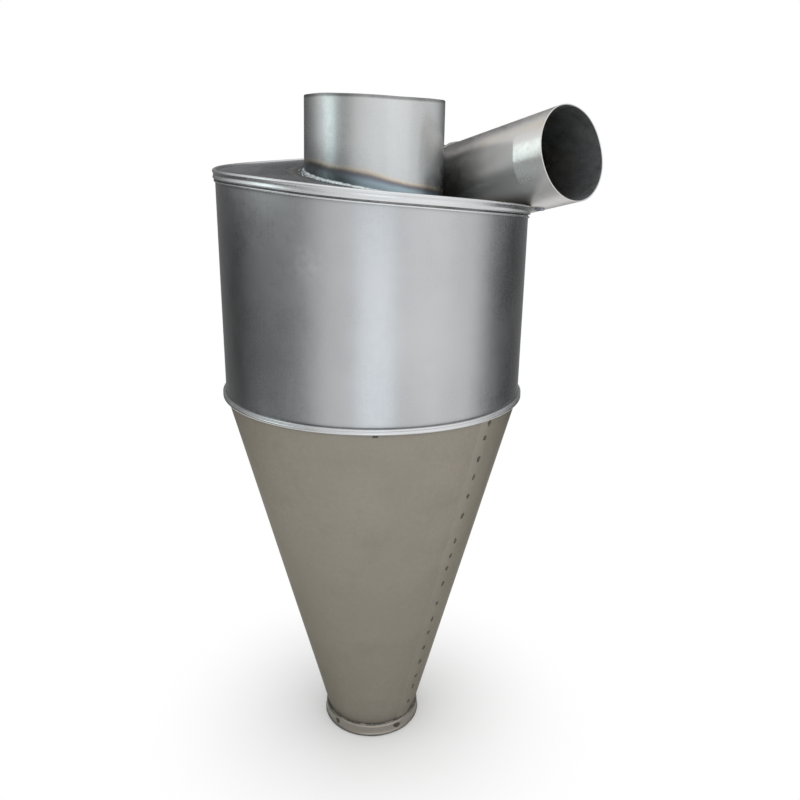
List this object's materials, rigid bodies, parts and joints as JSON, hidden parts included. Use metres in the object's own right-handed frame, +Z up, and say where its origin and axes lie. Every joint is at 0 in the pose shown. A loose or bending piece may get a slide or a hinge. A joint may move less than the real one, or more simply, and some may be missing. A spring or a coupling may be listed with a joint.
{
  "type": "cyclone dust separator",
  "caption": "Sheet-steel cyclone dust separator with a spiral roof, tangential round inlet, central gas outlet and tapering cone to a collared dust outlet.",
  "frame": {"origin": "centre of the dust outlet's lower rim, at floor level", "axes": "+Z up the cyclone's axis towards the gas outlet, +X to the side of the inlet pipe's mouth, -Y to the front"},
  "size_m": [0.5173, 0.4292, 0.95],
  "materials": {
    "barrel_steel": "satin mill finish",
    "roof_steel": "satin mill finish",
    "fold_steel": "satin mill finish",
    "cone_steel": "satin mill finish",
    "collar_steel": "satin mill finish",
    "outlet_steel": "satin mill finish",
    "inlet_steel": "satin mill finish",
    "weld_metal": "satin mill finish",
    "spot_marks": "satin mill finish"
  },
  "bodies": {
    "root": {"barrel_shell": "barrel_steel", "barrel_lap_strip": "barrel_steel", "barrel_spot_welds": "spot_marks", "joint_ring": "fold_steel", "cone_shell": "cone_steel", "cone_lap_strip": "cone_steel", "cone_spot_welds": "spot_marks", "cone_foot_weld": "weld_metal", "dust_collar": "collar_steel", "collar_tacks": "spot_marks", "collar_seam_weld": "weld_metal", "roof_plate": "roof_steel", "roof_edge_fold": "fold_steel", "barrel_edge_hem": "fold_steel", "step_plate": "roof_steel", "outlet_pipe": "outlet_steel", "outlet_foot_weld": "weld_metal", "outlet_seam_weld": "weld_metal", "inlet_pipe": "inlet_steel", "inlet_seam_weld": "weld_metal", "inlet_end_weld": "weld_metal", "inlet_roof_welds": "weld_metal"}
  },
  "joints": []
}
